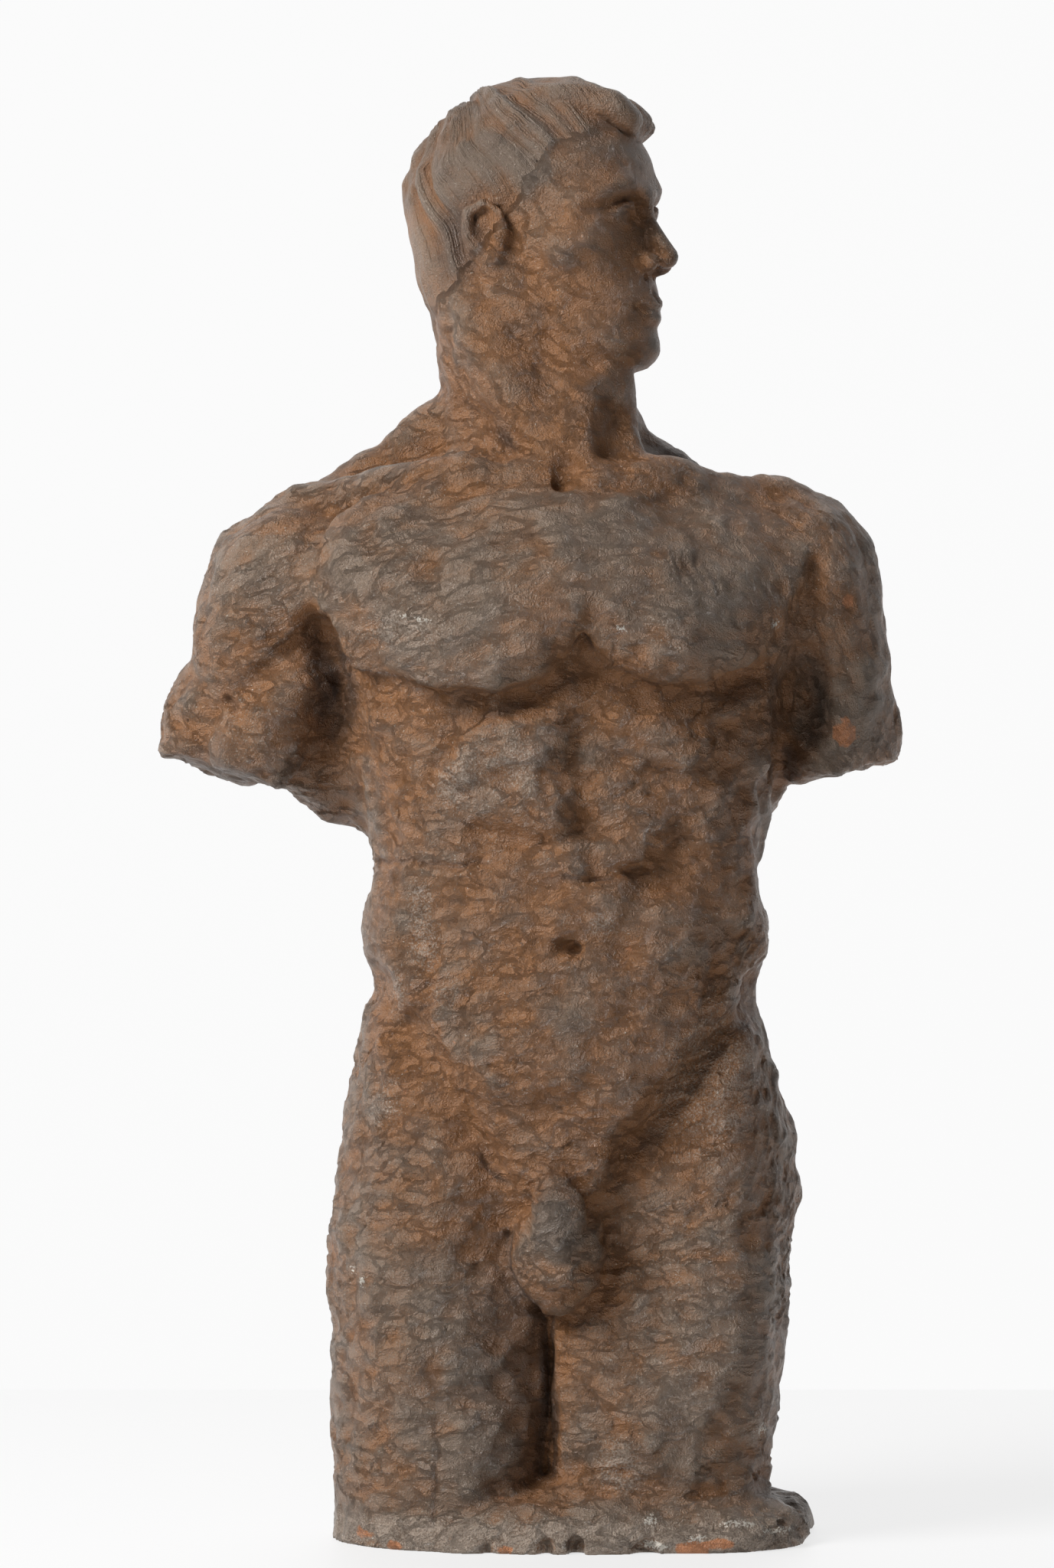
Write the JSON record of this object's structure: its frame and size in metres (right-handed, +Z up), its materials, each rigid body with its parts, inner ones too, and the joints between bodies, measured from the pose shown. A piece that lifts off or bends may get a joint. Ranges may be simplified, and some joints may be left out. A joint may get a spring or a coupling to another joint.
{
  "type": "standing male torso statue with head",
  "caption": "Nude standing male torso with turned head, arms ending above the elbows and thighs at mid length, on a thin slab.",
  "frame": {"origin": "on the flat underside, under the middle of the figure", "axes": "+Z up through the figure, -Y the side the chest faces, +X the side the head looks to"},
  "size_m": [0.4118, 0.2075, 0.7988],
  "materials": {
    "patinated_clay": "Fired terracotta under a dark grey-brown patina, orange rust brown in the hollows, with a dull sheen on the raised dabs of clay"
  },
  "bodies": {
    "root": {"wrestler_statue": "patinated_clay"}
  },
  "joints": []
}
